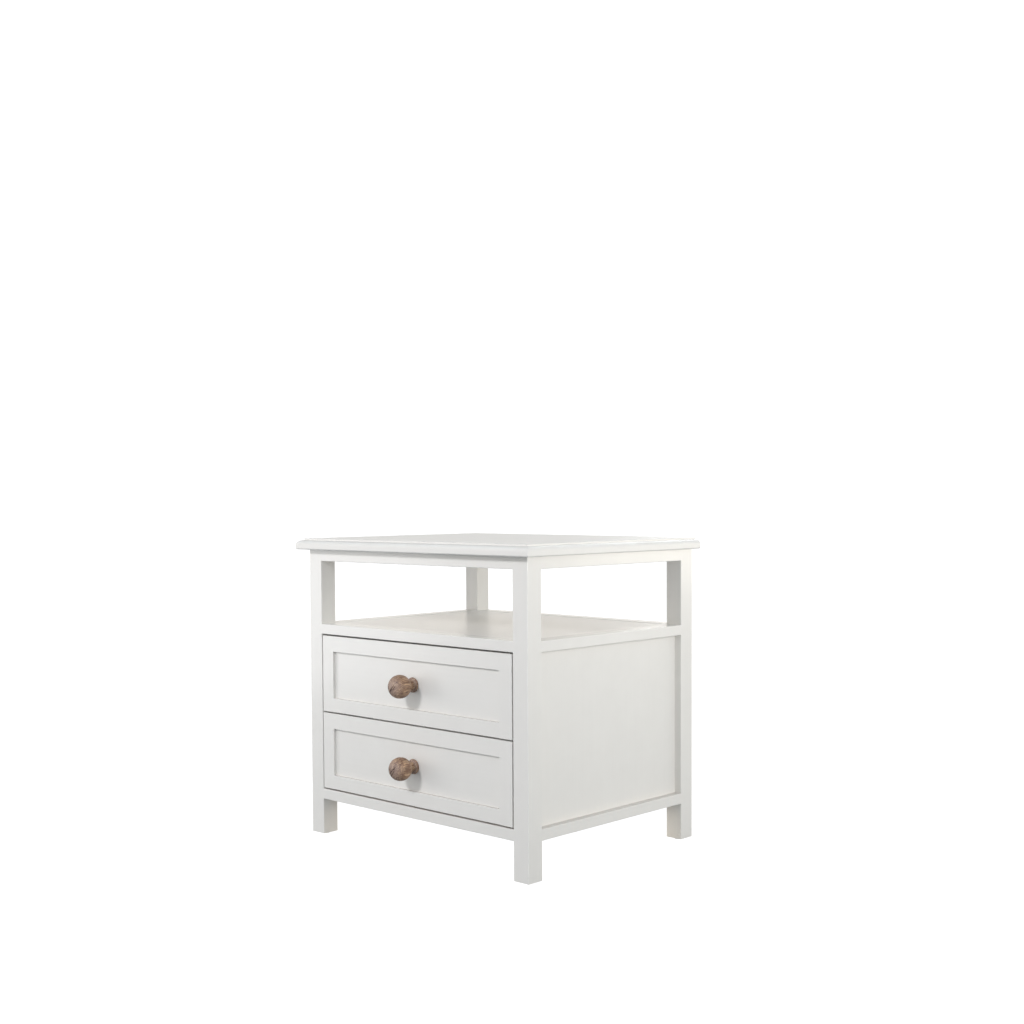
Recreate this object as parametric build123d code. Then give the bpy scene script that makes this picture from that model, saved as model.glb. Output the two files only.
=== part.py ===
from build123d import *
import os

# Nightstand with an open shelf and two inset drawers. Millimetres, +Z up, the front faces -Y.
# The origin is on the floor, under the middle of the overall box, knobs included.

# ---- driving dimensions ----
BODY_WIDTH = 600.0          # over the posts
BODY_DEPTH = 480.0          # over the posts
HEIGHT = 600.0              # floor to top surface
POST = 36.0                 # square posts; rails are as wide as the posts
GLIDE = 3.0                 # foot glide under each post
TOP_THICK = 22.0
TOP_OVERHANG = 20.0         # front and sides; the back edge is flush
RAIL_Z = {"top": (555.0, 578.0), "shelf": (408.5, 428.5), "bottom": (74.0, 95.0)}
PANEL_RECESS = 15.5         # side and back panels, behind the outer faces
PANEL = 6.0                 # side, back, drawer bottom and drawer front panels
SHELF_THICK = 16.0
SHELF_SET_DOWN = 0.5        # shelf surface below the rail tops
ARRIS = 1.2                 # softened edges of the painted frame

DRAWER_GAP_SIDE = 2.5
DRAWER_GAP = 3.0            # above, between and below the drawers
FRONT_THICK = 19.0
STILE = 32.0
FRONT_RAIL_TOP = 31.0
FRONT_RAIL_BOTTOM = 28.0
FRONT_RECESS = 6.0          # the front panel, behind the front frame
FRONT_ARRIS = 0.8

BOX_WALL = 12.0
BOX_HEIGHT = 110.0
BOX_LENGTH = 400.0
BOX_LIFT = 14.0             # box bottom edge above the front's bottom edge
BOTTOM_LIFT = 8.0           # bottom panel above the box's bottom edge
BOX_ROUND = 2.0

SLIDE_LENGTH = 400.0
SLIDE_THICK = 12.7

KNOB_BALL = 22.25           # radius
KNOB_REACH = 35.0           # ball centre, in front of the panel
KNOB_BASE = 14.5            # radius of the collar's rim
KNOB_NECK = 8.6

# ---- derived places ----
HALF = BODY_WIDTH / 2
INNER = HALF - POST                                   # inner face of the side posts
KNOB_PROUD = KNOB_REACH + KNOB_BALL - FRONT_RECESS    # beyond the posts' front face
FRONT = KNOB_PROUD - (BODY_DEPTH + KNOB_PROUD) / 2    # y of the posts' front face
BACK = FRONT + BODY_DEPTH
TOP_UNDER = HEIGHT - TOP_THICK
PANEL_OUT = HALF - PANEL_RECESS                       # x of the side panels' outer face
PANEL_IN = PANEL_OUT - PANEL

# ---- joinery ----
TENON = 8.0                 # thickness
TENON_LONG = 13.0
SHOULDER = 3.0
GROOVE = 6.0                # depth of the panel grooves
PANEL_ENTRY = 5.0           # how far a panel enters its groove
TENON_Z = {
    "top": (RAIL_Z["top"][0] + SHOULDER, RAIL_Z["top"][1] - SHOULDER),
    "shelf": (RAIL_Z["shelf"][0] + GROOVE, RAIL_Z["shelf"][1] - SHOULDER),
    "bottom": (RAIL_Z["bottom"][0] + SHOULDER, RAIL_Z["bottom"][1] - GROOVE),
}
SHELF_TOP = RAIL_Z["shelf"][1] - SHELF_SET_DOWN
TONGUE_Z = (SHELF_TOP - 11.0, SHELF_TOP - 5.0)        # tongue round the shelf panel

# ---- fasteners ----
TOP_SCREW_SHANK = 2.2       # radii
TOP_SCREW_HEAD = 4.2
SLIDE_SCREW_SHANK = 1.75
SLIDE_SCREW_HEAD = 3.5
FACE_SCREW_SHANK = 2.0
FACE_SCREW_HEAD = 4.0
KNOB_SCREW_SHANK = 2.0
KNOB_SCREW_HEAD = 4.5
SCREW_TIP = 0.3
TOP_SCREW_DOME = 2.4        # heights of the heads
FACE_SCREW_DOME = 2.2
KNOB_SCREW_DOME = 2.6

os.makedirs("parts", exist_ok=True)


def save(name, shape):
    """Write one sub-part to its own file."""
    shape.label = name
    export_step(shape, f"parts/{name}.step")


def block(x, y, z):
    """A box between two limits on each axis."""
    size = [abs(b - a) for a, b in (x, y, z)]
    middle = [(a + b) / 2 for a, b in (x, y, z)]
    return Pos(*middle) * Box(*size)


def softened_block(x, y, z, radius, along):
    """A box whose edges along one axis are rounded."""
    return fillet(block(x, y, z).edges().filter_by(along), radius)


def corner_round(x, y, z, into_x, into_y, radius):
    """The sliver taken off a vertical edge at (x, y) to round it between two heights."""
    low, high = z
    spare = 0.2
    far_x = x - into_x * spare
    far_y = y - into_y * spare
    sliver = block((far_x, x + into_x * radius), (far_y, y + into_y * radius), z)
    middle = Pos(x + into_x * radius, y + into_y * radius, (low + high) / 2)
    return sliver - middle * Cylinder(radius, high - low)


def mirrored(shape):
    """The same piece on the other side of the middle plane."""
    return mirror(shape, about=Plane.YZ)


def screw(head_radius, head_height, shank_radius, length, tip=3.0):
    """Round-headed cross-drive screw: the head's underside at the origin, the shank down -Z."""
    shank = Pos(0, 0, -(length - tip) / 2) * Cylinder(shank_radius, length - tip)
    point = Pos(0, 0, -length + tip / 2) * Cone(SCREW_TIP, shank_radius, tip)
    head = Pos(0, 0, head_height / 2) * Cylinder(head_radius, head_height)
    head = fillet(head.edges().group_by(Axis.Z)[-1], head_height * 0.6)
    slot = Box(head_radius, head_radius * 0.22, head_height)
    drive = slot + Rot(0, 0, 90) * slot
    return head + shank + point - Pos(0, 0, head_height) * drive


# =====================================================================================
# Top board: a flat board with a moulding on the front and both sides, mitred at the corners
# =====================================================================================

NOSE_HEIGHT = 9.0           # upright part of the moulding, above the underside
OVOLO_IN = 11.5             # the quarter-oval above the nose
OVOLO_TOP = 18.5
LEDGE = 1.2                 # small flat ledge, then a step up to the top surface


def moulded_section(edge, inner):
    """Section of the top board, moulded at one edge and square at the other."""
    soft = 3.0
    chamfer_in = 0.6
    ovolo = edge - OVOLO_IN
    step = ovolo - LEDGE
    with BuildSketch() as section:
        with BuildLine():
            RadiusArc((edge - soft, 0), (edge, soft), -soft)
            Line((edge, soft), (edge, NOSE_HEIGHT))
            EllipticalCenterArc(
                (ovolo, NOSE_HEIGHT), OVOLO_IN, OVOLO_TOP - NOSE_HEIGHT, 0, arc_size=90)
            Polyline(
                (ovolo, OVOLO_TOP),
                (step, OVOLO_TOP),
                (step, TOP_THICK - chamfer_in),
                (step - chamfer_in, TOP_THICK),
                (inner, TOP_THICK),
                (inner, 0),
                (edge - soft, 0))
        make_face()
    return section.sketch


def top_board():
    """Where a run of the side section and a run of the front section share space."""
    reach = HALF + TOP_OVERHANG
    depth = BODY_DEPTH + TOP_OVERHANG
    half = Pos(0, BACK, TOP_UNDER) * extrude(Plane.XZ * moulded_section(reach, 0), depth)
    across = half + mirrored(half)
    end = Plane((reach, BACK - depth, TOP_UNDER), x_dir=(0, -1, 0), z_dir=(-1, 0, 0))
    along = extrude(end * moulded_section(0, -depth), 2 * reach)
    return across & along


TOP_SCREW_RISE = 12.0       # how far the screws enter the top board
COUNTERBORE = 7.0
HEAD_ROOM = 0.4             # how much wider than its head a counterbore is, all round
TOP_SCREW_X = BODY_WIDTH / 4            # front and back rails
TOP_SCREW_Y = (0.3, 0.7)                # side rails, as parts of the depth
top_screw_places = []
for side in (-1, 1):
    for row in (FRONT + POST / 2, BACK - POST / 2):
        top_screw_places.append((side * TOP_SCREW_X, row))
    for part in TOP_SCREW_Y:
        top_screw_places.append((side * (HALF - POST / 2), FRONT + part * BODY_DEPTH))

top_screw_seat = RAIL_Z["top"][0] + COUNTERBORE
top_screw_length = TOP_UNDER + TOP_SCREW_RISE - top_screw_seat


def top_screw_holes():
    """Counterbores and shank holes of the screws that pull the top board down."""
    holes = []
    for x, y in top_screw_places:
        bore = Pos(x, y, RAIL_Z["top"][0] + COUNTERBORE / 2) * Cylinder(TOP_SCREW_HEAD + HEAD_ROOM, COUNTERBORE)
        shank = Pos(x, y, top_screw_seat + top_screw_length / 2)
        holes.append(bore)
        holes.append(shank * Cylinder(TOP_SCREW_SHANK, top_screw_length))
    return holes


top_holes = top_screw_holes()
save("top_board", top_board() - top_holes)

top_screws = []
for x, y in top_screw_places:
    driver = screw(TOP_SCREW_HEAD, TOP_SCREW_DOME, TOP_SCREW_SHANK, top_screw_length)
    top_screws.append(Pos(x, y, top_screw_seat) * Rot(180, 0, 0) * driver)
save("top_screws", Compound(children=top_screws))


# =====================================================================================
# Rails: three levels of four, each with a tenon at both ends
# =====================================================================================

def front_rail(level, front_y):
    """A rail along X whose outer face is at front_y, with its tenons."""
    low, high = RAIL_Z[level]
    y = (front_y, front_y + POST)
    rail = softened_block((-INNER, INNER), y, (low, high), ARRIS, Axis.X)
    reach = INNER + TENON_LONG
    middle = front_y + POST / 2
    tenon = block((-reach, reach), (middle - TENON / 2, middle + TENON / 2), TENON_Z[level])
    return rail + tenon


def side_rail(level):
    """The right rail along Y, with its tenons."""
    low, high = RAIL_Z[level]
    y = (FRONT + POST, BACK - POST)
    rail = softened_block((INNER, HALF), y, (low, high), ARRIS, Axis.Y)
    middle = HALF - POST / 2
    reach = (y[0] - TENON_LONG, y[1] + TENON_LONG)
    tenon = block((middle - TENON / 2, middle + TENON / 2), reach, TENON_Z[level])
    return rail + tenon


def panel_space(margin):
    """The side and back panels, or the grooves that hold them, with the given entry."""
    z = (RAIL_Z["bottom"][1] - margin, RAIL_Z["shelf"][0] + margin)
    side = block((PANEL_IN, PANEL_OUT), (FRONT + POST - margin, BACK - POST + margin), z)
    back_y = (BACK - PANEL_RECESS - PANEL, BACK - PANEL_RECESS)
    back = block((-INNER - margin, INNER + margin), back_y, z)
    return side, back


def shelf_space(margin):
    """The tongue round the shelf panel, or the groove for it."""
    along = block((-INNER, INNER), (FRONT + POST - margin, BACK - POST + margin), TONGUE_Z)
    across = block((-INNER - margin, INNER + margin), (FRONT + POST, BACK - POST), TONGUE_Z)
    return along, across


side_groove, back_groove = panel_space(GROOVE)
shelf_grooves = shelf_space(GROOVE)
rails = {}
for level in RAIL_Z:
    rails[f"{level}_rail_front"] = front_rail(level, FRONT)
    rails[f"{level}_rail_back"] = front_rail(level, BACK - POST)
    rails[f"{level}_rail_right"] = side_rail(level)

for level in ("shelf", "bottom"):
    rails[f"{level}_rail_back"] -= back_groove
    rails[f"{level}_rail_right"] -= side_groove
for end in ("front", "back", "right"):
    rails[f"shelf_rail_{end}"] -= shelf_grooves
    rails[f"top_rail_{end}"] -= top_holes
for level in RAIL_Z:
    rails[f"{level}_rail_left"] = mirrored(rails[f"{level}_rail_right"])
for name, rail in rails.items():
    save(name, rail)


# =====================================================================================
# Posts: mortised for the rails, grooved for the panels, edges softened where they are free
# =====================================================================================

FREE_STRETCHES = [
    (GLIDE, RAIL_Z["bottom"][0]),
    (RAIL_Z["shelf"][1], RAIL_Z["top"][0]),
]
BAY = (RAIL_Z["bottom"][1], RAIL_Z["shelf"][0])       # the drawers' opening
GLIDE_RADIUS = 11.0
PIN_RADIUS = 2.0            # the glide's pin, driven into the post
PIN_LONG = 14.0
GLIDE_ROUND = 1.0


def post(front_end):
    """The right post at the front or the back end."""
    y = (FRONT, FRONT + POST) if front_end else (BACK - POST, BACK)
    outer_y, inner_y = y if front_end else y[::-1]
    inward = 1 if front_end else -1
    solid = block((INNER, HALF), y, (GLIDE, TOP_UNDER))
    upright = solid.edges().filter_by(Axis.Z)
    outer = upright.filter_by_position(Axis.X, HALF - 0.1, HALF + 0.1)
    outer = outer.filter_by_position(Axis.Y, outer_y - 0.1, outer_y + 0.1)
    solid = fillet(outer, ARRIS)
    slivers = []
    for stretch in FREE_STRETCHES:
        slivers.append(corner_round(INNER, outer_y, stretch, 1, inward, ARRIS))
        slivers.append(corner_round(HALF, inner_y, stretch, -1, -inward, ARRIS))
        slivers.append(corner_round(INNER, inner_y, stretch, 1, -inward, ARRIS))
    slivers.append(corner_round(INNER, outer_y, BAY, 1, inward, ARRIS))
    slivers.append(corner_round(HALF, inner_y, BAY, -1, -inward, ARRIS))
    solid -= slivers
    solid -= [side_groove]
    if not front_end:
        solid -= [back_groove]
    end = "front" if front_end else "back"
    for level in RAIL_Z:
        solid -= rails[f"{level}_rail_{end}"]
        solid -= rails[f"{level}_rail_right"]
    centre_y = (y[0] + y[1]) / 2
    pin = Pos(HALF - POST / 2, centre_y, GLIDE + PIN_LONG / 2) * Cylinder(PIN_RADIUS, PIN_LONG)
    return solid - pin


for end in ("front", "back"):
    right = post(end == "front")
    save(f"post_{end}_right", right)
    save(f"post_{end}_left", mirrored(right))

glides = []
for side in (-1, 1):
    for y in (FRONT + POST / 2, BACK - POST / 2):
        pad = Pos(0, 0, GLIDE / 2) * Cylinder(GLIDE_RADIUS, GLIDE)
        pad = fillet(pad.edges().group_by(Axis.Z)[0], GLIDE_ROUND)
        pin = Pos(0, 0, GLIDE + PIN_LONG / 2) * Cylinder(PIN_RADIUS, PIN_LONG)
        glides.append(Pos(side * (HALF - POST / 2), y, 0) * (pad + pin))
save("foot_glides", Compound(children=glides))


# =====================================================================================
# Panels and shelf
# =====================================================================================

side_panel, back_panel = panel_space(PANEL_ENTRY)
save("side_panel_right", side_panel)
save("side_panel_left", mirrored(side_panel))
save("back_panel", back_panel)

shelf_y = (FRONT + POST, BACK - POST)
shelf = block((-INNER, INNER), shelf_y, (SHELF_TOP - SHELF_THICK, SHELF_TOP))
for tongue in shelf_space(PANEL_ENTRY):
    shelf += tongue
save("shelf_panel", shelf)


# =====================================================================================
# Drawer slides: three nested channels, the open sides of the first two towards the drawer
# =====================================================================================

STEEL = 1.2
CABINET_HALF = 22.75        # half heights of the three channels
MIDDLE_HALF = 16.7
DRAWER_HALF = 11.2
MIDDLE_OUT = 2.5            # the middle member's web, from the cabinet side
LIP = 10.8                  # how far the outer channels' flanges reach
DRAWER_LIP = 5.2            # how near the post the drawer member's flanges come
SLIDE_START = FRONT + FRONT_THICK + 2.0
SLIDE_SCREWS = (37.0, 200.0, 363.0)
SLIDE_HEAD = 0.9
SLIDE_SCREW = 11.0


def channel(web, flange, half_height):
    """A right-hand channel along Y: x limits are distances in from the post's inner face."""
    y = (SLIDE_START, SLIDE_START + SLIDE_LENGTH)
    solid = block((INNER - web[1], INNER - web[0]), y, (-half_height, half_height))
    for side in (-1, 1):
        z = (side * (half_height - STEEL), side * half_height)
        solid += block((INNER - flange[1], INNER - flange[0]), y, z)
    return solid


def slide_screw(x, y, turn):
    """A flat-headed slide screw on a channel's web, turned about Y to point into the wood."""
    flat = screw(SLIDE_SCREW_HEAD, SLIDE_HEAD, SLIDE_SCREW_SHANK, SLIDE_SCREW)
    return Pos(x, y, 0) * Rot(0, turn, 0) * flat


screw_rows = [SLIDE_START + offset for offset in SLIDE_SCREWS]
cabinet_screws = [slide_screw(INNER - STEEL, y, -90) for y in screw_rows]
drawer_screws = [slide_screw(INNER - SLIDE_THICK + STEEL, y, 90) for y in screw_rows]
cabinet_member = channel((0, STEEL), (0, LIP), CABINET_HALF) - cabinet_screws
middle_member = channel((MIDDLE_OUT, MIDDLE_OUT + STEEL), (MIDDLE_OUT, LIP), MIDDLE_HALF)
drawer_web = (SLIDE_THICK - STEEL, SLIDE_THICK)
drawer_member = channel(drawer_web, (DRAWER_LIP, SLIDE_THICK), DRAWER_HALF) - drawer_screws


def pair(shapes, height):
    """Each right-hand solid and its mirror image, lifted to a height, as separate solids."""
    lifted = [Pos(0, 0, height) * shape for shape in shapes]
    return Compound(children=lifted + [mirrored(shape) for shape in lifted])


# =====================================================================================
# Drawers
# =====================================================================================

FRONT_HEIGHT = (BAY[1] - BAY[0] - 3 * DRAWER_GAP) / 2
FRONT_HALF = INNER - DRAWER_GAP_SIDE
BOX_HALF = INNER - SLIDE_THICK
BOX_IN = BOX_HALF - BOX_WALL
BOX_START = FRONT + FRONT_THICK
BOX_END = BOX_START + BOX_LENGTH
PANEL_FACE = FRONT + FRONT_RECESS
CLEAT_HEIGHT = 52.0
TAILS = 4
TAIL_SLOPE = 2.0            # how much a tail widens on each side towards its end
PIN_GAP = 9.0               # between neighbouring tails, at their wide ends

drawer_bottoms = {"lower": BAY[0] + DRAWER_GAP}
drawer_bottoms["upper"] = drawer_bottoms["lower"] + FRONT_HEIGHT + DRAWER_GAP
slide_heights = {}
for name, low in drawer_bottoms.items():
    slide_heights[name] = low + BOX_LIFT + BOX_HEIGHT / 2


def tails(base_y, end_y, low, high):
    """Dovetails of the right side of a box: wide at end_y, narrow at base_y."""
    pitch = (high - low) / TAILS
    wide = (pitch - PIN_GAP) / 2
    narrow = wide - TAIL_SLOPE
    cut = []
    for index in range(TAILS):
        middle = low + pitch * (index + 0.5)
        outline = [
            (base_y, middle - narrow),
            (end_y, middle - wide),
            (end_y, middle + wide),
            (base_y, middle + narrow),
        ]
        face = Plane.YZ * make_face(Polyline(*outline, close=True))
        cut.append(Pos(BOX_IN, 0, 0) * extrude(face, BOX_WALL, dir=(1, 0, 0)))
    return cut


def knob_solid():
    """Turned knob about Z with its collar on z = 0: collar, hollow neck, ball."""
    rim = 2.4
    foot = KNOB_BASE - 1.2
    shoulder = (KNOB_BASE - 2.6, 2 * rim + 0.4)
    neck_height = 11.5
    throat = KNOB_NECK + 0.6
    join = (throat, KNOB_REACH - (KNOB_BALL ** 2 - throat ** 2) ** 0.5)
    tip = (0, KNOB_REACH + KNOB_BALL)
    with BuildSketch(Plane.XZ) as outline:
        with BuildLine():
            Line((0, 0), (foot, 0))
            ThreePointArc((foot, 0), (KNOB_BASE, rim), shoulder)
            Spline(shoulder, (KNOB_NECK, neck_height), join, tangents=((-1, 0.35), (0.55, 1)))
            ThreePointArc(join, (KNOB_BALL, KNOB_REACH), tip)
            Line(tip, (0, 0))
        make_face()
    return revolve(outline.sketch, Axis.Z)


KNOB_BORE = 21.0
KNOB_SCREW = BOX_START + BOX_WALL - PANEL_FACE + KNOB_BORE - 1.0
FACE_SCREW = 18.0
FACE_SCREW_X = BOX_IN - FACE_SCREW_HEAD - 1.2


def drawer(name, low):
    """Write every piece of one drawer, whose front's lower edge is at this height."""
    high = low + FRONT_HEIGHT
    inner_low = low + FRONT_RAIL_BOTTOM
    inner_high = high - FRONT_RAIL_TOP
    inner_half = FRONT_HALF - STILE
    face_y = (FRONT, FRONT + FRONT_THICK)
    panel_y = (PANEL_FACE, PANEL_FACE + PANEL)
    knob_z = (inner_low + inner_high) / 2
    box_low = low + BOX_LIFT
    box_high = box_low + BOX_HEIGHT
    floor_low = box_low + BOTTOM_LIFT
    floor_high = floor_low + PANEL

    # screws, which also cut their own holes
    to_front = Rot(-90, 0, 0)
    face_screws = []
    for x in (-FACE_SCREW_X, FACE_SCREW_X):
        for rise in (0.25, 0.8):
            place = Pos(x, BOX_START + BOX_WALL, box_low + rise * BOX_HEIGHT)
            fixing = screw(FACE_SCREW_HEAD, FACE_SCREW_DOME, FACE_SCREW_SHANK, FACE_SCREW)
            face_screws.append(place * to_front * fixing)
    knob_screw = screw(KNOB_SCREW_HEAD, KNOB_SCREW_DOME, KNOB_SCREW_SHANK, KNOB_SCREW, 1.0)
    knob_screw = Pos(0, BOX_START + BOX_WALL, knob_z) * to_front * knob_screw
    lifted_screws = pair(drawer_screws, slide_heights[name])

    # front frame: two stiles, two rails with tongues, a thin panel in grooves
    groove = block((-inner_half - GROOVE, inner_half + GROOVE), panel_y,
                   (inner_low - GROOVE, inner_high + GROOVE))
    stile = softened_block((inner_half, FRONT_HALF), face_y, (low, high), FRONT_ARRIS, Axis.Z)
    stile += block((inner_half, FRONT_HALF - STILE / 2), face_y, (low, high))
    tongue_x = (-inner_half - GROOVE, inner_half + GROOVE)
    for part, z in (("top", (inner_high, high)), ("bottom", (low, inner_low))):
        rail = softened_block((-inner_half, inner_half), face_y, z, FRONT_ARRIS, Axis.X)
        rail = rail - groove
        tongue_z = (z[0] + GROOVE, z[1] - GROOVE)
        tongue = block(tongue_x, panel_y, tongue_z)
        rail = rail + tongue
        stile = stile - tongue
        save(f"{name}_front_rail_{part}", rail)
    stile = stile - groove
    save(f"{name}_front_stile_right", stile - face_screws)
    save(f"{name}_front_stile_left", mirrored(stile) - face_screws)
    panel = block((-inner_half - PANEL_ENTRY, inner_half + PANEL_ENTRY), panel_y,
                  (inner_low - PANEL_ENTRY, inner_high + PANEL_ENTRY))
    save(f"{name}_front_panel", panel - knob_screw)

    # box: sides with dovetails at both ends, front, back and a bottom panel
    shoulder_front = BOX_START + BOX_WALL
    shoulder_back = BOX_END - BOX_WALL
    front_tails = tails(shoulder_front, BOX_START, box_low, box_high)
    back_tails = tails(shoulder_back, BOX_END, floor_high, box_high)
    floor_groove = block((-BOX_IN - GROOVE, BOX_IN + GROOVE),
                         (shoulder_front - GROOVE, BOX_END), (floor_low, floor_high))
    side = softened_block((BOX_IN, BOX_HALF), (shoulder_front, shoulder_back),
                          (box_low, box_high), BOX_ROUND, Axis.Y)
    side += front_tails
    side += back_tails
    side += block((BOX_IN, BOX_HALF), (shoulder_back, BOX_END), (box_low, floor_high))
    side = side - floor_groove - lifted_screws
    save(f"{name}_box_side_right", side)
    save(f"{name}_box_side_left", mirrored(side))

    box_front = block((-BOX_HALF, BOX_HALF), (BOX_START, shoulder_front), (box_low, box_high))
    box_front -= front_tails + [mirrored(tail) for tail in front_tails]
    save(f"{name}_box_front", box_front - floor_groove - face_screws - knob_screw)
    box_back = block((-BOX_HALF, BOX_HALF), (shoulder_back, BOX_END), (floor_high, box_high))
    box_back -= back_tails + [mirrored(tail) for tail in back_tails]
    save(f"{name}_box_back", box_back)
    floor_edge = BOX_IN + PANEL_ENTRY
    floor = block((-floor_edge, floor_edge), (shoulder_front - PANEL_ENTRY, BOX_END),
                  (floor_low, floor_high))
    save(f"{name}_box_bottom", floor)

    # knob, fixings and slides
    knob = Pos(0, PANEL_FACE, knob_z) * Rot(90, 0, 0) * knob_solid()
    bore = Pos(0, PANEL_FACE - KNOB_BORE / 2, knob_z) * Rot(90, 0, 0)
    save(f"{name}_knob", knob - bore * Cylinder(KNOB_SCREW_SHANK, KNOB_BORE))
    save(f"{name}_knob_screw", knob_screw)
    save(f"{name}_face_screws", Compound(children=face_screws))
    height = slide_heights[name]
    save(f"{name}_slide_screws", lifted_screws)
    save(f"{name}_drawer_slides", pair([drawer_member], height))
    save(f"{name}_middle_slides", pair([middle_member], height))
    save(f"{name}_cabinet_slides", pair([cabinet_member], height))


for name, low in drawer_bottoms.items():
    drawer(name, low)

# cleats between the posts carry the cabinet members
cleats = []
cabinet_fixings = []
for height in slide_heights.values():
    z = (height - CLEAT_HEIGHT / 2, height + CLEAT_HEIGHT / 2)
    screws_here = [Pos(0, 0, height) * fixing for fixing in cabinet_screws]
    cleats.append(block((INNER, PANEL_IN), (FRONT + POST, BACK - POST), z) - screws_here)
    cabinet_fixings += screws_here
save("slide_cleats_right", Compound(children=cleats))
save("slide_cleats_left", Compound(children=[mirrored(cleat) for cleat in cleats]))
save("cabinet_slide_screws", pair(cabinet_fixings, 0))
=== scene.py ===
"""A white painted bedside table: four square posts, frame-and-panel sides and back, an open
shelf and two drawers with turned oak knobs. Sizes are metres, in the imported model's frame."""
import math

import bpy
import numpy as np
from mathutils import Matrix, Vector


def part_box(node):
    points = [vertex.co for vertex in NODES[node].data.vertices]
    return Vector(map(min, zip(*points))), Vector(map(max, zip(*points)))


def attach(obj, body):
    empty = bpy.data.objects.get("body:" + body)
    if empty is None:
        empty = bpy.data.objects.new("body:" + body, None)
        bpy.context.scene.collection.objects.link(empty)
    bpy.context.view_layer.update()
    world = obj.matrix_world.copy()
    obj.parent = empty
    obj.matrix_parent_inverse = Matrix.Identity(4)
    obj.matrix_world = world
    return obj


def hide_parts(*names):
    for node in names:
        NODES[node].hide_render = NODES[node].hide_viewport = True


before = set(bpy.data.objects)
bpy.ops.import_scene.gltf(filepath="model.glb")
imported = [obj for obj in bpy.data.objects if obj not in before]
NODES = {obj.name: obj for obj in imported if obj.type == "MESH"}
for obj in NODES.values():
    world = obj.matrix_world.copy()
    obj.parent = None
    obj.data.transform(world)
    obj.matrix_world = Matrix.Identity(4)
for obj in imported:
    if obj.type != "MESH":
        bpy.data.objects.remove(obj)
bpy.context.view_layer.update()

# =====================================================================================
# The painted cabinet: beech posts and rails, veneered panels, the top board and the shelf.
# All of it is sprayed with a warm white satin lacquer, thin enough for the grain to show
# through as a faint relief, and rubbed down a little at the arrises.
# =====================================================================================

PAINT = (0.84, 0.82, 0.78)
PAINT_THIN = (0.86, 0.85, 0.82)        # on the arrises, where the lacquer is thinnest
PAINT_SHADE = (0.815, 0.795, 0.755)    # in the mottling and along the grain
PAINT_LEDGE_SHADE = (0.50, 0.455, 0.43)      # painted shade on the ledges' upward faces


def add_node(tree, kind, settings=None, **inputs):
    """Adds one shader node: settings are its own options, and inputs are numbers or the
    outputs of other nodes, by socket name with _ for a space."""
    node = tree.nodes.new("ShaderNode" + kind)
    for name, value in (settings or {}).items():
        setattr(node, name, value)
    for name, value in inputs.items():
        socket = node.inputs[name.replace("_", " ")]
        if isinstance(value, bpy.types.NodeSocket):
            tree.links.new(value, socket)
        else:
            socket.default_value = value
    return node


def calculate(tree, operation, *terms, clamp=False):
    """The output of a Math node that works on numbers or sockets, in order."""
    node = add_node(tree, "Math", {"operation": operation, "use_clamp": clamp})
    for socket, term in zip(node.inputs, terms):
        if isinstance(term, bpy.types.NodeSocket):
            tree.links.new(term, socket)
        else:
            socket.default_value = term
    return node.outputs["Value"]


def spread(tree, value, low, high, to_low=0.0, to_high=1.0):
    """Value stretched so that low..high becomes to_low..to_high, and held inside them."""
    names = dict(From_Min=low, From_Max=high, To_Min=to_low, To_Max=to_high)
    return add_node(tree, "MapRange", Value=value, **names).outputs["Result"]


def stretched(tree, vector, scale):
    """Coordinates multiplied axis by axis, for patterns that are longer one way."""
    node = add_node(tree, "Mapping", {"vector_type": "POINT"}, Vector=vector, Scale=scale)
    return node.outputs["Vector"]


def blended(tree, mask, low, high):
    """A colour that goes from low to high as the mask goes from 0 to 1."""
    node = add_node(tree, "Mix", {"data_type": "RGBA"})
    factor, first, second, result = 0, 6, 7, 2      # where a colour Mix keeps its sockets
    for index, value in ((factor, mask), (first, low), (second, high)):
        if isinstance(value, bpy.types.NodeSocket):
            tree.links.new(value, node.inputs[index])
        else:
            node.inputs[index].default_value = value if index == factor else (*value, 1.0)
    return node.outputs[result]


def new_group(name, inputs, outputs):
    """An empty shader node group with named sockets, and its two end nodes."""
    group = bpy.data.node_groups.new(name, "ShaderNodeTree")
    for in_out, sockets in (("INPUT", inputs), ("OUTPUT", outputs)):
        for socket, kind in sockets.items():
            group.interface.new_socket(socket, in_out=in_out, socket_type="NodeSocket" + kind)
    return group, group.nodes.new("NodeGroupInput"), group.nodes.new("NodeGroupOutput")


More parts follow.
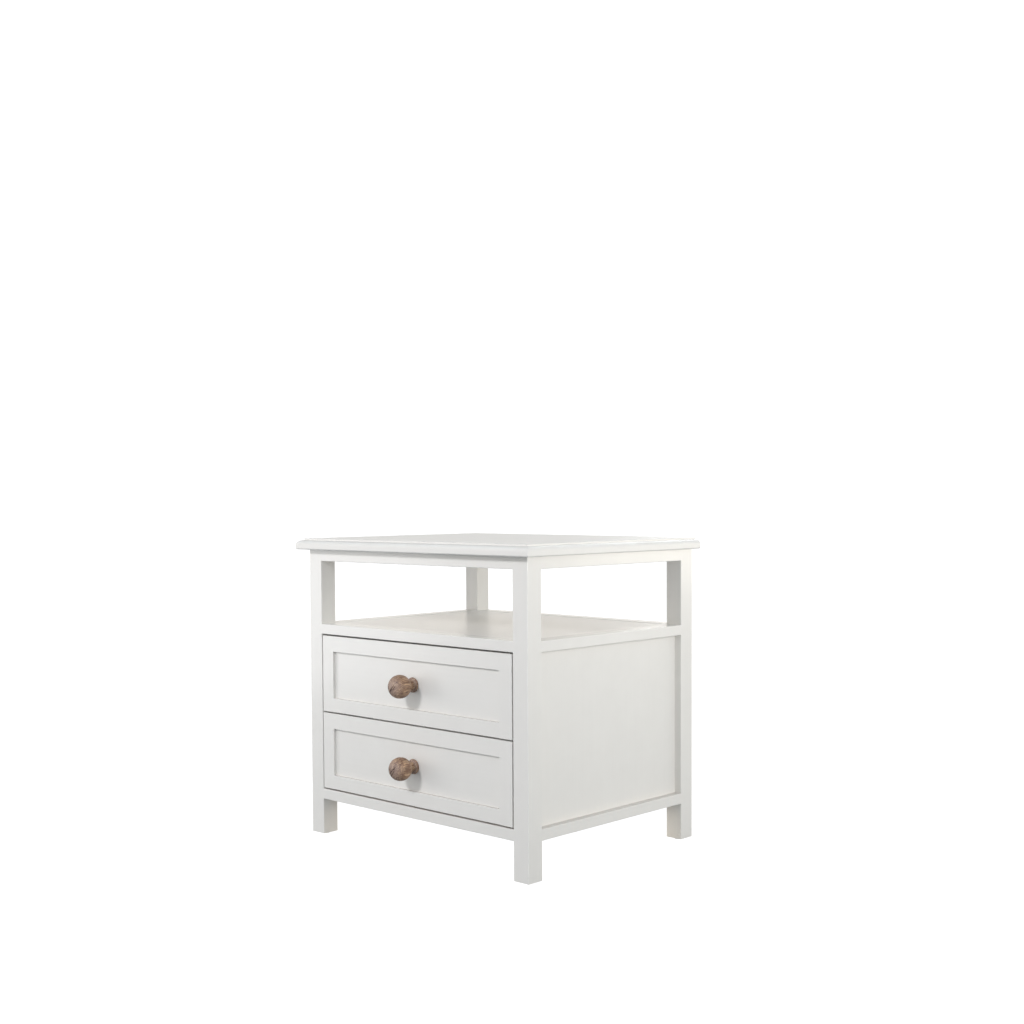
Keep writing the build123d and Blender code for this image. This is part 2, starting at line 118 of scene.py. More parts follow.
def lacquer_group():
    """Sprayed lacquer on planed timber whose grain runs along the vector's X: a tone from slow
    mottling and faint long grain, a gloss from the same, and the height of the film's relief
    in millimetres, made of grain lines, short pores, orange peel and the board's slow waves."""
    tree, given, out = new_group(
        "sprayed_lacquer", {"Vector": "Vector"}, {"Tone": "Float", "Gloss": "Float", "Height": "Float"})
    at = given.outputs["Vector"]
    long_grain = add_node(tree, "TexNoise", Vector=stretched(tree, at, (5.0, 210.0, 210.0)),
                          Scale=1.0, Detail=4.0, Roughness=0.62, Distortion=0.4).outputs["Fac"]
    pores = add_node(tree, "TexNoise", Vector=stretched(tree, at, (60.0, 1300.0, 1300.0)),
                     Scale=1.0, Detail=1.0, Roughness=0.5).outputs["Fac"]
    pores = spread(tree, pores, 0.60, 0.72)
    peel = add_node(tree, "TexNoise", Vector=at, Scale=620.0, Detail=1.0).outputs["Fac"]
    waves = add_node(tree, "TexNoise", Vector=at, Scale=9.0, Detail=2.0).outputs["Fac"]
    mottle = add_node(tree, "TexNoise", Vector=at, Scale=26.0, Detail=5.0, Roughness=0.6).outputs["Fac"]
    tone = calculate(tree, "MULTIPLY_ADD", mottle, 0.6, calculate(tree, "MULTIPLY", long_grain, 0.4))
    tree.links.new(spread(tree, tone, 0.3, 0.7), out.inputs["Tone"])
    gloss = calculate(tree, "MULTIPLY_ADD", mottle, 0.5, calculate(tree, "MULTIPLY", pores, 0.5))
    tree.links.new(gloss, out.inputs["Gloss"])
    height = calculate(tree, "MULTIPLY", long_grain, 0.030)
    height = calculate(tree, "MULTIPLY_ADD", pores, -0.008, height)
    height = calculate(tree, "MULTIPLY_ADD", peel, 0.006, height)
    height = calculate(tree, "MULTIPLY_ADD", waves, 0.20, height)
    tree.links.new(height, out.inputs["Height"])
    return tree


def arris_group():
    """Where an edge is rounded over: 1 where the surface faces along none of the three axes,
    which on square boards is only their softened arrises, broken up by patches of rubbing."""
    tree, given, out = new_group("rubbed_arrises", {"Vector": "Vector"}, {"Arris": "Float"})
    facing = add_node(tree, "NewGeometry").outputs["Normal"]
    facing = add_node(tree, "VectorMath", {"operation": "ABSOLUTE"}, Vector=facing).outputs["Vector"]
    sides = add_node(tree, "SeparateXYZ", Vector=facing)
    flat = calculate(tree, "MAXIMUM", sides.outputs["X"], sides.outputs["Y"])
    flat = calculate(tree, "MAXIMUM", flat, sides.outputs["Z"])
    rubbed = add_node(tree, "TexNoise", Vector=given.outputs["Vector"], Scale=38.0, Detail=4.0)
    rubbed = spread(tree, rubbed.outputs["Fac"], 0.35, 0.62, 0.25, 1.0)
    turned = spread(tree, flat, 0.99, 0.78)
    tree.links.new(calculate(tree, "MULTIPLY", turned, rubbed), out.inputs["Arris"])
    return tree


LACQUER = lacquer_group()
RUBBED = arris_group()
ALONG = {"x": (0.0, 0.0, 0.0), "y": (0.0, 0.0, -math.pi / 2), "z": (0.0, math.pi / 2, 0.0)}


def new_material(name, **constants):
    """A material and its Principled BSDF, with the values that are the same all over."""
    material = bpy.data.materials.new(name)
    material.use_nodes = True
    surface = material.node_tree.nodes["Principled BSDF"]
    for socket, value in constants.items():
        surface.inputs[socket.replace("_", " ")].default_value = value
    return material, material.node_tree, surface


def along_grain(tree, axis):
    """Object coordinates turned so that their X runs along a board whose grain runs on axis."""
    at = add_node(tree, "TexCoord").outputs["Object"]
    turned = add_node(tree, "Mapping", {"vector_type": "POINT"}, Vector=at, Rotation=ALONG[axis])
    return turned.outputs["Vector"]


def relief(tree, surface, height, strength=1.0):
    """Height in millimetres as a bump on the surface's normal."""
    bump = add_node(tree, "Bump", Height=height, Strength=strength, Distance=0.001)
    tree.links.new(bump.outputs["Normal"], surface.inputs["Normal"])


def paint_material(name, axis, matt=0.34, sheen=0.5, coat=0.25, depth=1.0, ledge_shade=0.0):
    """The white lacquer over timber whose grain runs along an axis, with painted shade, as strong as the
    last argument, on the faces that look up.
    """
    material, tree, surface = new_material(
        name, IOR=1.5, Specular_IOR_Level=sheen, Coat_Weight=coat, Coat_Roughness=0.16)
    at = along_grain(tree, axis)
    film = add_node(tree, "Group", {"node_tree": LACQUER}, Vector=at)
    rubbed = add_node(tree, "Group", {"node_tree": RUBBED}, Vector=at).outputs["Arris"]
    toned = blended(tree, film.outputs["Tone"], PAINT_SHADE, PAINT)
    toned = blended(tree, rubbed, toned, PAINT_THIN)
    facing = add_node(tree, "SeparateXYZ", Vector=add_node(tree, "NewGeometry").outputs["Normal"])
    # painted shade: a darker colour on the faces that look up, the more so the further up they face
    shade_mask = spread(tree, facing.outputs["Z"], 0.30, 0.75, 0.0, ledge_shade)
    tree.links.new(blended(tree, shade_mask, toned, PAINT_LEDGE_SHADE), surface.inputs["Base Color"])
    rough = spread(tree, film.outputs["Gloss"], 0.1, 0.6, matt - 0.04, matt + 0.05)
    rough = calculate(tree, "MULTIPLY_ADD", shade_mask, 0.5, rough, clamp=True)
    tree.links.new(rough, surface.inputs["Roughness"])
    relief(tree, surface, film.outputs["Height"], depth)
    return material


def dress(names, material):
    """Gives CAD nodes a material, in place of the plain one that they came with."""
    for name in names:
        for slot in NODES[name].material_slots:
            slot.material = material


SIDES = ("left", "right")
DRAWERS = ("upper", "lower")
UPRIGHT = [f"post_{end}_{side}" for end in ("front", "back") for side in SIDES]
UPRIGHT += [f"side_panel_{side}" for side in SIDES] + ["back_panel"]
UPRIGHT += [f"{drawer}_front_stile_{side}" for drawer in DRAWERS for side in SIDES]
ACROSS = [f"{level}_rail_{end}" for level in ("top", "shelf") for end in ("front", "back")]
ACROSS += [f"{drawer}_front_{part}" for drawer in DRAWERS for part in ("rail_top", "panel")]
DEEP = [f"{level}_rail_{side}" for level in ("top", "shelf") for side in SIDES]
LEDGES = ["bottom_rail_front", "bottom_rail_back", "upper_front_rail_bottom", "lower_front_rail_bottom"]
DEEP_LEDGES = [f"bottom_rail_{side}" for side in SIDES]

dress(UPRIGHT, paint_material("white_lacquer_upright", "z"))
dress(ACROSS, paint_material("white_lacquer_across", "x"))
dress(DEEP, paint_material("white_lacquer_deep", "y"))
# the ledges get painted shade on the faces that look up
dress(LEDGES, paint_material("white_lacquer_ledges", "x", ledge_shade=0.6))
dress(DEEP_LEDGES, paint_material("white_lacquer_side_ledges", "y", ledge_shade=0.5))
dress(["top_board"], paint_material("white_lacquer_top", "x", 0.40, sheen=0.35, coat=0.0, depth=0.4))
dress(["shelf_panel"], paint_material("white_lacquer_shelf", "x", 0.31, sheen=0.4, coat=0.0, depth=0.08))

# =====================================================================================
# The drawer boxes and the cleats that carry their slides: 12 mm birch, dovetailed at the
# corners and left bare under a thin clear sealer, on birch plywood bottoms.
# =====================================================================================

BIRCH_PALE = (0.74, 0.58, 0.40)
BIRCH_DARK = (0.56, 0.385, 0.235)
BIRCH_HANDLED = (0.47, 0.33, 0.21)      # on the arrises that hands have darkened
PLY_PALE = (0.70, 0.52, 0.34)
PLY_DARK = (0.50, 0.33, 0.20)


def timber_group():
    """Sawn and planed timber with its grain along the vector's X: growth lines from stretched
    noise folded into bands, fine fibres, short dark pores, and their relief in millimetres."""
    tree, given, out = new_group(
        "planed_timber", {"Vector": "Vector"}, {"Figure": "Float", "Pores": "Float", "Height": "Float"})
    at = given.outputs["Vector"]
    swirl = add_node(tree, "TexNoise", Vector=stretched(tree, at, (1.6, 16.0, 16.0)), Scale=1.0,
                     Detail=3.0, Roughness=0.5, Distortion=0.25).outputs["Fac"]
    bands = calculate(tree, "MULTIPLY", swirl, 9.0)
    bands = calculate(tree, "PINGPONG", bands, 0.5)
    fibres = add_node(tree, "TexNoise", Vector=stretched(tree, at, (14.0, 700.0, 700.0)), Scale=1.0,
                      Detail=4.0, Roughness=0.65).outputs["Fac"]
    pores = add_node(tree, "TexNoise", Vector=stretched(tree, at, (90.0, 1500.0, 1500.0)), Scale=1.0,
                     Detail=1.0).outputs["Fac"]
    pores = spread(tree, pores, 0.62, 0.72)
    figure = calculate(tree, "MULTIPLY_ADD", fibres, 0.9, calculate(tree, "MULTIPLY", bands, 0.9))
    tree.links.new(spread(tree, figure, 0.30, 1.0), out.inputs["Figure"])
    tree.links.new(pores, out.inputs["Pores"])
    height = calculate(tree, "MULTIPLY", fibres, 0.05)
    height = calculate(tree, "MULTIPLY_ADD", pores, -0.04, height)
    tree.links.new(height, out.inputs["Height"])
    return tree


TIMBER = timber_group()


def timber_material(name, axis, pale, dark, worn, matt=0.50):
    """Bare timber with its grain along an axis: figure, pores, and arrises darkened by hands."""
    material, tree, surface = new_material(name, IOR=1.45, Specular_IOR_Level=0.4)
    at = along_grain(tree, axis)
    grain = add_node(tree, "Group", {"node_tree": TIMBER}, Vector=at)
    rubbed = add_node(tree, "Group", {"node_tree": RUBBED}, Vector=at).outputs["Arris"]
    colour = blended(tree, grain.outputs["Figure"], pale, dark)
    colour = blended(tree, calculate(tree, "MULTIPLY", grain.outputs["Pores"], 0.55), colour, worn)
    colour = blended(tree, calculate(tree, "MULTIPLY", rubbed, 0.6), colour, worn)
    tree.links.new(colour, surface.inputs["Base Color"])
    rough = spread(tree, grain.outputs["Figure"], 0.0, 1.0, matt, matt + 0.14)
    tree.links.new(rough, surface.inputs["Roughness"])
    relief(tree, surface, grain.outputs["Height"])
    return material


def plywood_material():
    """Birch plywood: rotary-cut figure on its faces, and on its edges five plies in turn light
    and dark, told apart by which way the surface faces."""
    material, tree, surface = new_material("birch_plywood", IOR=1.45, Specular_IOR_Level=0.4)
    at = along_grain(tree, "x")
    grain = add_node(tree, "Group", {"node_tree": TIMBER}, Vector=stretched(tree, at, (1.0, 0.45, 0.45)))
    face = blended(tree, grain.outputs["Figure"], PLY_PALE, PLY_DARK)
    plies = add_node(tree, "TexWave", {"wave_type": "BANDS", "bands_direction": "Z"}, Vector=at,
                     Scale=130.0, Distortion=0.4, Detail=2.0).outputs["Fac"]
    edge = blended(tree, spread(tree, plies, 0.35, 0.65), PLY_DARK, PLY_PALE)
    up = add_node(tree, "SeparateXYZ", Vector=add_node(tree, "NewGeometry").outputs["Normal"])
    lying = spread(tree, calculate(tree, "ABSOLUTE", up.outputs["Z"]), 0.5, 0.7)
    tree.links.new(blended(tree, lying, edge, face), surface.inputs["Base Color"])
    tree.links.new(spread(tree, grain.outputs["Figure"], 0.0, 1.0, 0.45, 0.62), surface.inputs["Roughness"])
    relief(tree, surface, grain.outputs["Height"])
    return material


birch = {axis: timber_material(f"birch_{axis}", axis, BIRCH_PALE, BIRCH_DARK, BIRCH_HANDLED)
         for axis in "xy"}
for drawer in DRAWERS:
    dress([f"{drawer}_box_side_{side}" for side in SIDES], birch["y"])
    dress([f"{drawer}_box_front", f"{drawer}_box_back"], birch["x"])
dress([f"slide_cleats_{side}" for side in SIDES], birch["y"])
dress([f"{drawer}_box_bottom" for drawer in DRAWERS], plywood_material())

# =====================================================================================
# The slides and screws: cold-rolled steel channels and pressed screws, zinc plated, with
# faint drawing lines, a cloudy passivated film and grease along the runs.
# =====================================================================================

ZINC_BRIGHT = (0.70, 0.71, 0.72)
ZINC_CLOUDED = (0.50, 0.52, 0.53)
GREASE = (0.20, 0.17, 0.12)


def zinc_material(name, line_scale, greasy):
    """Zinc plate: clouds of passivation, fine lines along Y from drawing the strip, a few short
    scratches, and thin brown grease in patches."""
    material, tree, surface = new_material(name, Metallic=1.0)
    at = add_node(tree, "TexCoord").outputs["Object"]
    clouds = add_node(tree, "TexNoise", Vector=at, Scale=55.0, Detail=6.0, Roughness=0.6).outputs["Fac"]
    lines = add_node(tree, "TexNoise", Vector=stretched(tree, at, (line_scale, 6.0, line_scale)),
                     Scale=1.0, Detail=3.0).outputs["Fac"]
    smears = add_node(tree, "TexNoise", Vector=stretched(tree, at, (160.0, 18.0, 160.0)), Scale=1.0,
                      Detail=4.0).outputs["Fac"]
    smears = spread(tree, smears, 0.56, 0.70, 0.0, greasy)
    colour = blended(tree, spread(tree, clouds, 0.3, 0.7), ZINC_CLOUDED, ZINC_BRIGHT)
    tree.links.new(blended(tree, smears, colour, GREASE), surface.inputs["Base Color"])
    rough = spread(tree, clouds, 0.3, 0.7, 0.42, 0.24)
    rough = calculate(tree, "MULTIPLY_ADD", smears, 0.2, rough)
    tree.links.new(rough, surface.inputs["Roughness"])
    relief(tree, surface, calculate(tree, "MULTIPLY", lines, 0.012))
    return material


slide_zinc = zinc_material("zinc_slides", 900.0, 0.5)
screw_zinc = zinc_material("zinc_screws", 300.0, 0.15)
for drawer in DRAWERS:
    dress([f"{drawer}_{member}_slides" for member in ("cabinet", "middle", "drawer")], slide_zinc)
    dress([f"{drawer}_{use}" for use in ("knob_screw", "face_screws", "slide_screws")], screw_zinc)
dress(["cabinet_slide_screws", "top_screws"], screw_zinc)

# =====================================================================================
# The glides: round nylon nails driven into the posts' feet, which hold the timber off the
# floor. They are milky where they are new, and scuffed grey where they slide.
# =====================================================================================

NYLON = (0.70, 0.67, 0.60)
SCUFFED = (0.36, 0.34, 0.31)


def nylon_material():
    """Moulded nylon: milky, with a fine matt texture, and scuffs in streaks across it."""
    material, tree, surface = new_material(
        "glide_nylon", IOR=1.53, Subsurface_Weight=0.15, Subsurface_Scale=0.002)
    at = add_node(tree, "TexCoord").outputs["Object"]
    scuffs = add_node(tree, "TexNoise", Vector=stretched(tree, at, (900.0, 60.0, 400.0)), Scale=1.0,
                      Detail=4.0, Distortion=0.5).outputs["Fac"]
    scuffs = spread(tree, scuffs, 0.50, 0.68)
    tree.links.new(blended(tree, scuffs, NYLON, SCUFFED), surface.inputs["Base Color"])
    tree.links.new(spread(tree, scuffs, 0.0, 1.0, 0.38, 0.65), surface.inputs["Roughness"])
    grit = add_node(tree, "TexNoise", Vector=at, Scale=1800.0, Detail=2.0).outputs["Fac"]
    relief(tree, surface, calculate(tree, "MULTIPLY", grit, 0.02))
    return material


dress(["foot_glides"], nylon_material())

# =====================================================================================
# The knobs: ball and collar turned in one piece from an old oak blank, its grain along the
# axis, so that the end grain with its drying checks is on the front. Waxed, not painted.
# =====================================================================================

BALL = 22.25                            # all of this section's lengths are millimetres
BALL_REACH = 35.0
COLLAR = (13.3, 14.5, 11.9)             # radius at the panel, at the rim and at the shoulder
COLLAR_RISE = (0.0, 2.4, 5.2)
NECK = (8.6, 11.5)                      # least radius, and how far from the panel
THROAT = 9.2
ROUND = 340                             # points round each ring
ALONG_KNOB = 270                        # rings, with a pole at each end
CHECK_LEAN = math.radians(52.0)         # of the drying checks, up from level
CHECKS = 13                             # carved into each knob
CHECK_DEPTH = 0.9
RING_DEPTH = 0.06                       # of the annual rings' ridges
RINGS_PER_MM = 0.32
OAK_PALE = (0.60, 0.40, 0.245)
OAK_MID = (0.225, 0.125, 0.078)
OAK_DARK = (0.060, 0.035, 0.028)
OAK_GREY = (0.47, 0.37, 0.34)


def hermite(start, end, leave, arrive, count):
    """Points on a cubic from start to end, with the directions it leaves and arrives in."""
    t = np.linspace(0.0, 1.0, count)[:, None]
    start, end, leave, arrive = (np.array(value, float) for value in (start, end, leave, arrive))
    return ((2 * t**3 - 3 * t**2 + 1) * start + (t**3 - 2 * t**2 + t) * leave
            + (3 * t**2 - 2 * t**3) * end + (t**3 - t**2) * arrive)


def circle_through(first, middle, last, count):
    """Points on the arc from first through middle to last, at equal angles."""
    points = np.array([first, middle, last], float)
    sides = 2 * (points[1:] - points[0])
    squares = (points[1:] ** 2).sum(1) - (points[0] ** 2).sum()
    centre = np.linalg.solve(sides, squares)
    turn = np.unwrap(np.arctan2(points[:, 1] - centre[1], points[:, 0] - centre[0]))
    radius = np.linalg.norm(points[0] - centre)
    turn = np.linspace(turn[0], turn[2], count)
    return centre + radius * np.column_stack((np.cos(turn), np.sin(turn)))


def knob_outline():
    """Radius and distance from the panel, from the collar's underside to the ball's tip: a disc,
    the collar's half-round, the hollow neck as two cubics, and the ball's arc. Then it is
    divided again so that the rings are equally far apart."""
    join = (THROAT, BALL_REACH - math.sqrt(BALL**2 - THROAT**2))
    rim = list(zip(COLLAR, COLLAR_RISE))
    pull = math.hypot(COLLAR[2] - NECK[0], NECK[1] - COLLAR_RISE[2])
    swell = math.hypot(THROAT - NECK[0], join[1] - NECK[1])
    start = math.asin(THROAT / BALL)
    turn = np.linspace(math.pi - start, 0.0, 400)
    ball = np.column_stack((BALL * np.sin(turn), BALL_REACH + BALL * np.cos(turn)))
    pieces = [
        np.array([[0.0, 0.0]]),
        circle_through(*rim, 60),
        hermite(rim[2], NECK, np.array((-0.94, 0.33)) * pull, (0.0, pull), 60),
        hermite(NECK, join, (0.0, swell), np.array((0.48, 0.88)) * swell, 40),
        ball,
    ]
    line = np.concatenate(pieces)
    walked = np.concatenate(([0.0], np.cumsum(np.hypot(*np.diff(line, axis=0).T))))
    even = np.linspace(0.0, walked[-1], ALONG_KNOB)
    return np.column_stack([np.interp(even, walked, line[:, axis]) for axis in (0, 1)])


def ripple(at, waves):
    """A smooth pattern: the mean of sines, each along its own direction and phase."""
    return sum(np.sin(at @ np.array(way) + phase) for *way, phase in waves) / len(waves)


def knob_mesh(name, centre_height, pith, seed):
    """The outline turned about the knob's axis, as rings by angles, with one point at each pole.
    The surface is then lowered along its own normal: by annual rings, which are a wave over the
    distance from the pith, and by drying checks, which are bell-shaped grooves side by side,
    deepest in the end grain. Its faces look outward."""
    outline = knob_outline()
    radius, rise = outline[1:-1, 0][:, None], outline[1:-1, 1][:, None]
    slope = np.gradient(outline, axis=0)[1:-1]
    slope /= np.linalg.norm(slope, axis=1)[:, None]
    angle = np.linspace(0.0, 2 * math.pi, ROUND, endpoint=False)[None, :]
    x, z = radius * np.cos(angle), radius * np.sin(angle)
    random = np.random.default_rng(seed)
    waves = [(*random.normal(0.0, 0.28, 2), random.uniform(0.0, 6.28)) for _ in range(7)]
    drift = ripple(np.stack((x + 0.05 * rise, z), axis=-1), waves)
    years = np.hypot(x - pith[0], z - pith[1]) + 1.4 * drift
    sunk = RING_DEPTH * (0.5 + 0.5 * np.sin(years * 2 * math.pi * RINGS_PER_MM)) ** 3
    facing_end = np.clip(slope[:, 0] * -1.0, 0.0, 1.0)[:, None] ** 0.7
    across = -x * math.sin(CHECK_LEAN) + z * math.cos(CHECK_LEAN)
    along = x * math.cos(CHECK_LEAN) + z * math.sin(CHECK_LEAN)
    split = 0.0 * along
    for _ in range(CHECKS):
        place, mid = random.uniform(-6.0, 15.0), random.uniform(-13.0, 7.0)
        length, width = random.uniform(4.0, 10.0), random.uniform(0.30, 0.60)
        reach = np.clip(1.0 - ((along - mid) / length) ** 2, 0.0, 1.0)
        off = across - place - 1.1 * drift - 0.35 * np.sin(along * 1.1 + place)
        split = split + facing_end * reach * np.exp(-((off / (width * (0.5 + reach))) ** 2))
    split = np.clip(split, 0.0, 1.0)
    sunk = sunk + CHECK_DEPTH * split
    outward_r, outward_y = slope[:, 1][:, None], -slope[:, 0][:, None]
    bulk = radius - outward_r * sunk
    high = rise - outward_y * sunk
    ring = np.stack((bulk * np.cos(angle), -high + 0 * angle, bulk * np.sin(angle)), axis=-1)
    points = np.concatenate((ring.reshape(-1, 3), [(0.0, 0.0, 0.0), (0.0, -outline[-1, 1], 0.0)]))
    points = points / 1000.0 + np.array((0.0, PANEL_FACE, centre_height))
    rings = ALONG_KNOB - 2
    index = np.arange(rings * ROUND).reshape(rings, ROUND)
    ahead = np.roll(index, -1, axis=1)
    walls = np.stack((index[:-1], ahead[:-1], ahead[1:], index[1:]), axis=-1).reshape(-1, 4)
    foot, tip = rings * ROUND, rings * ROUND + 1
    foot_fan = np.stack((np.full(ROUND, foot), ahead[0], index[0]), axis=-1)
    tip_fan = np.stack((index[-1], ahead[-1], np.full(ROUND, tip)), axis=-1)
    mesh = bpy.data.meshes.new(name)
    mesh.from_pydata(points, [], walls.tolist() + foot_fan.tolist() + tip_fan.tolist())
    mesh.polygons.foreach_set("use_smooth", np.ones(len(mesh.polygons), bool))
    depths = mesh.attributes.new("split", "FLOAT", "POINT")
    depths.data.foreach_set("value", np.append(split.ravel(), (0.0, 0.0)))
    return mesh


def oak_group():
    """Oak round the vector's Y, which is the knob's axis: Rings from distances to the pith,
    Streaks and Pores long on the axis, which are dots in the end grain, Checks where it split,
    and the Height of all of them in millimetres."""
    tree, given, out = new_group(
        "turned_oak", {"Vector": "Vector", "Pith": "Vector"},
        {"Rings": "Float", "Streaks": "Float", "Pores": "Float", "Checks": "Float", "Height": "Float"})
    at = given.outputs["Vector"]
    warp = add_node(tree, "TexNoise", Vector=stretched(tree, at, (60.0, 9.0, 60.0)), Scale=1.0,
                    Detail=3.0).outputs["Fac"]
    from_pith = add_node(tree, "VectorMath", {"operation": "SUBTRACT"})
    tree.links.new(stretched(tree, at, (1.0, 0.0, 1.0)), from_pith.inputs[0])
    tree.links.new(given.outputs["Pith"], from_pith.inputs[1])
    apart = add_node(tree, "VectorMath", {"operation": "LENGTH"}, Vector=from_pith.outputs["Vector"])
    years = calculate(tree, "MULTIPLY_ADD", apart.outputs["Value"], 320.0,
                      calculate(tree, "MULTIPLY", warp, 2.4))
    rings = calculate(tree, "FRACT", years)
    rings = spread(tree, rings, 0.15, 0.95)
    streaks = add_node(tree, "TexNoise", Vector=stretched(tree, at, (250.0, 20.0, 250.0)), Scale=1.0,
                       Detail=5.0, Roughness=0.65, Distortion=0.3).outputs["Fac"]
    pores = add_node(tree, "TexNoise", Vector=stretched(tree, at, (900.0, 60.0, 900.0)), Scale=1.0,
                     Detail=2.0).outputs["Fac"]
    pores = spread(tree, pores, 0.55, 0.66)
    pores = calculate(tree, "MULTIPLY", pores, spread(tree, rings, 0.9, 0.3, 0.25, 1.0))
    split = add_node(tree, "Mapping", {"vector_type": "POINT"}, Vector=at,
                     Rotation=(0.0, CHECK_LEAN, 0.0))
    split = stretched(tree, split.outputs["Vector"], (60.0, 14.0, 380.0))
    checks = add_node(tree, "TexNoise", Vector=split, Scale=1.0, Detail=3.0, Distortion=0.6).outputs["Fac"]
    checks = spread(tree, checks, 0.55, 0.66)
    for socket, value in (("Rings", rings), ("Streaks", spread(tree, streaks, 0.41, 0.59)),
                          ("Pores", pores), ("Checks", checks)):
        tree.links.new(value, out.inputs[socket])
    height = calculate(tree, "MULTIPLY", streaks, 0.16)
    height = calculate(tree, "MULTIPLY_ADD", pores, -0.10, height)
    height = calculate(tree, "MULTIPLY_ADD", checks, -0.22, height)
    height = calculate(tree, "MULTIPLY_ADD", rings, 0.05, height)
    tree.links.new(height, out.inputs["Height"])
    return tree


OAK = oak_group()


def oak_material(name, centre_height, pith):
    """Waxed oak: brown streaks along the axis, greyer and darker in the end grain, black in the
    pores and checks, and a soft sheen where hands polish it."""
    material, tree, surface = new_material(name, IOR=1.46, Coat_Roughness=0.35)
    at = add_node(tree, "TexCoord").outputs["Object"]
    at = add_node(tree, "Mapping", {"vector_type": "POINT"}, Vector=at,
                  Location=(0.0, 9.0 * centre_height, -centre_height)).outputs["Vector"]
    grain = add_node(tree, "Group", {"node_tree": OAK}, Vector=at,
                     Pith=(pith[0] / 1000.0, 0.0, pith[1] / 1000.0))
    facing = add_node(tree, "SeparateXYZ", Vector=add_node(tree, "NewGeometry").outputs["Normal"])
    end_grain = spread(tree, facing.outputs["Y"], -0.35, -0.95)
    colour = blended(tree, grain.outputs["Streaks"], OAK_MID, OAK_PALE)
    summer = calculate(tree, "MULTIPLY", grain.outputs["Rings"], 0.75)
    colour = blended(tree, summer, colour, OAK_MID)
    colour = blended(tree, calculate(tree, "MULTIPLY", end_grain, 0.42), colour, OAK_GREY)
    carved = add_node(tree, "Attribute", {"attribute_name": "split"}).outputs["Fac"]
    fine = calculate(tree, "MULTIPLY", grain.outputs["Checks"], spread(tree, end_grain, 0.0, 1.0, 0.3, 0.7))
    dark = calculate(tree, "MAXIMUM", calculate(tree, "MULTIPLY", grain.outputs["Pores"], 0.75), fine)
    dark = calculate(tree, "MAXIMUM", dark, spread(tree, carved, 0.15, 0.75, 0.0, 0.95))
    tree.links.new(blended(tree, dark, colour, OAK_DARK), surface.inputs["Base Color"])
    rough = spread(tree, grain.outputs["Streaks"], 0.0, 1.0, 0.62, 0.46)
    tree.links.new(rough, surface.inputs["Roughness"])
    tree.links.new(spread(tree, dark, 0.0, 1.0, 0.16, 0.0), surface.inputs["Coat Weight"])
    relief(tree, surface, grain.outputs["Height"])
    return material


PANEL_FACE = float(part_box("upper_knob")[1][1])
PITH = {"upper": (-22.0, 26.0), "lower": (-7.0, -2.0)}     # across and up from the axis
SEED = {"upper": 11, "lower": 29}
for drawer in DRAWERS:
    name = f"{drawer}_oak_knob"
    low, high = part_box(f"{drawer}_knob")
    middle = (low[2] + high[2]) / 2
    knob = bpy.data.objects.new(name, knob_mesh(name, middle, PITH[drawer], SEED[drawer]))
    bpy.context.scene.collection.objects.link(knob)
    knob.data.materials.append(oak_material(f"oak_{drawer}", middle, PITH[drawer]))
    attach(knob, f"{drawer}_drawer")
    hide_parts(f"{drawer}_knob")

# =====================================================================================
# Studio: a floor, a surround and soft boxes round the table. The camera sees the floor and
# the surround as plain white, while the light that they give the table is grey and tinted.
# =====================================================================================

FLOOR_SIZE = 60.0


def floor_mesh():
    """A square sheet on z = 0, from its four corners."""
    half = FLOOR_SIZE / 2
    corners = [(-half, -half, 0.0), (half, -half, 0.0), (half, half, 0.0), (-half, half, 0.0)]
    mesh = bpy.data.meshes.new("floor")
    mesh.from_pydata(corners, [], [(0, 1, 2, 3)])
    return mesh


FLOOR_GREY = (0.27, 0.29, 0.31)         # what the table's light bounces off
FLOOR_GLOW = 1.15                       # what the camera sees instead

floor = bpy.data.objects.new("floor", floor_mesh())
bpy.context.scene.collection.objects.link(floor)
floor_paint, floor_tree, floor_surface = new_material(
    "floor_white", Base_Color=(*FLOOR_GREY, 1.0), Roughness=0.9, Specular_IOR_Level=0.0)
seen = add_node(floor_tree, "LightPath").outputs["Is Camera Ray"]
glow = add_node(floor_tree, "Emission", Color=(1.0, 1.0, 1.0, 1.0), Strength=FLOOR_GLOW)
both = add_node(floor_tree, "MixShader", Fac=seen)
floor_tree.links.new(floor_surface.outputs[0], both.inputs[1])
floor_tree.links.new(glow.outputs[0], both.inputs[2])
floor_tree.links.new(both.outputs[0], floor_tree.nodes["Material Output"].inputs["Surface"])
floor.data.materials.append(floor_paint)

# the surround is brightest round the horizon, as a white cove is, and darker overhead
LOW_SKY_LEFT = (1.42, 1.36, 1.29)
LOW_SKY_RIGHT = (0.78, 0.84, 0.90)
HIGH_SKY = (0.36, 0.39, 0.42)
SKY_BEHIND = (1.38, 1.31, 1.22)         # behind the table, which the top and shelf mirror
BACKDROP = (1.2, 1.2, 1.2)              # what the camera sees instead
world = bpy.data.worlds.new("surround")
bpy.context.scene.world = world
world.use_nodes = True
world_tree = world.node_tree
world_tree.nodes.clear()
way = add_node(world_tree, "TexCoord").outputs["Generated"]
way = add_node(world_tree, "SeparateXYZ", Vector=way)
cove = blended(world_tree, spread(world_tree, way.outputs["X"], -0.3, 0.7), LOW_SKY_LEFT, LOW_SKY_RIGHT)
behind = calculate(world_tree, "SUBTRACT", way.outputs["Y"], way.outputs["X"])
cove = blended(world_tree, spread(world_tree, behind, 0.3, 1.1), cove, SKY_BEHIND)
cove = blended(world_tree, spread(world_tree, way.outputs["Z"], 0.25, 0.40), cove, HIGH_SKY)
seen = add_node(world_tree, "LightPath").outputs["Is Camera Ray"]
cove = blended(world_tree, seen, cove, BACKDROP)
sky = add_node(world_tree, "Background", Color=cove, Strength=1.0)
end = add_node(world_tree, "OutputWorld")
world_tree.links.new(sky.outputs[0], end.inputs["Surface"])


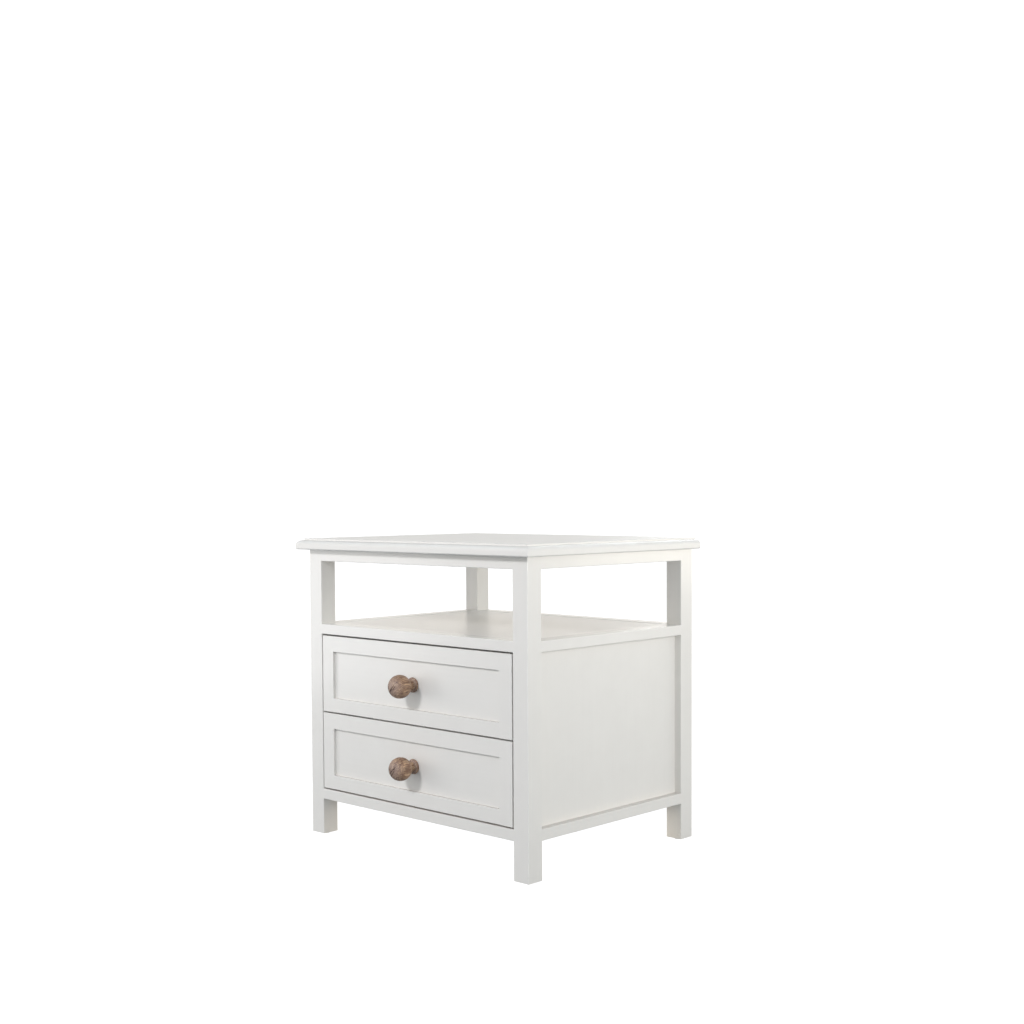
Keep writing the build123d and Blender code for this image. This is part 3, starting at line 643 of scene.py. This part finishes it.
def soft_box(name, around, height, distance, size, watts, aim=(0.0, 0.0, 0.3), colour=(1, 1, 1)):
    """An area light: around is its bearing in degrees from the front towards the right,
    height its angle above level, and distance how far it stands from its aim."""
    light = bpy.data.lights.new(name, "AREA")
    light.shape = "RECTANGLE"
    light.size, light.size_y = size
    light.energy = watts
    light.color = colour
    box = bpy.data.objects.new(name, light)
    bearing, rise = math.radians(around), math.radians(height)
    way = Vector((math.sin(bearing) * math.cos(rise), -math.cos(bearing) * math.cos(rise), math.sin(rise)))
    box.location = Vector(aim) + way * distance
    box.rotation_euler = way.to_track_quat("Z", "Y").to_euler()
    box.visible_camera = False
    bpy.context.scene.collection.objects.link(box)


# under_fill hangs below the drawers and points down, for the light that a floor bounces up
soft_box("key", 2, 31, 3.0, (0.40, 0.40), 33.5, colour=(0.97, 0.97, 1.0))
soft_box("left_fill", -48, 6, 1.0, (0.5, 0.5), 1.9, aim=(-0.3, -0.24, 0.30))
soft_box("under_fill", 0, 90, 0.02, (0.46, 0.34), 1.3, aim=(0.0, 0.03, 0.05), colour=(1.0, 0.93, 0.82))
soft_box("side_fill", 88, 3, 0.7, (0.7, 0.20), 1.7, aim=(0.30, 0.08, 0.54))
soft_box("bay_fill", 84, 0, 2.4, (0.3, 0.10), 14, aim=(0.30, 0.05, 0.50), colour=(1.0, 0.95, 0.88))
soft_box("back_fill", 200, 28, 3.0, (1.0, 1.0), 18, aim=(0.0, 0.0, 0.35))
soft_box("rear_fill", 142, 4, 1.8, (0.9, 0.4), 5, aim=(0.1, 0.2, 0.50), colour=(1.0, 0.94, 0.82))

# =====================================================================================
# Camera: 2.8 m off and 0.68 m up, a little above the top board, looking at the near right
# post. It looks down by DIP, and the lens is shifted to set the table in the frame.
# =====================================================================================

EYE = (1.9626, -2.0097, 0.6818)
TURN, DIP, LEAN = math.radians(43.420), math.radians(2.559), math.radians(-0.293)
SHIFT_UP = 0.046875                     # of the lens, as a share of the frame's width
FOCAL_LENGTH = 49.70                    # in millimetres, on a film SENSOR wide
SENSOR = 36.0

lens = bpy.data.cameras.new("camera")
lens.lens = FOCAL_LENGTH
lens.shift_y = SHIFT_UP
lens.sensor_width = SENSOR
camera = bpy.data.objects.new("camera", lens)
aim = (Matrix.Rotation(TURN, 4, "Z") @ Matrix.Rotation(math.pi / 2 - DIP, 4, "X")
       @ Matrix.Rotation(LEAN, 4, "Z"))
camera.matrix_world = Matrix.Translation(EYE) @ aim
bpy.context.scene.collection.objects.link(camera)
bpy.context.scene.camera = camera
bpy.context.scene.view_settings.view_transform = "Standard"
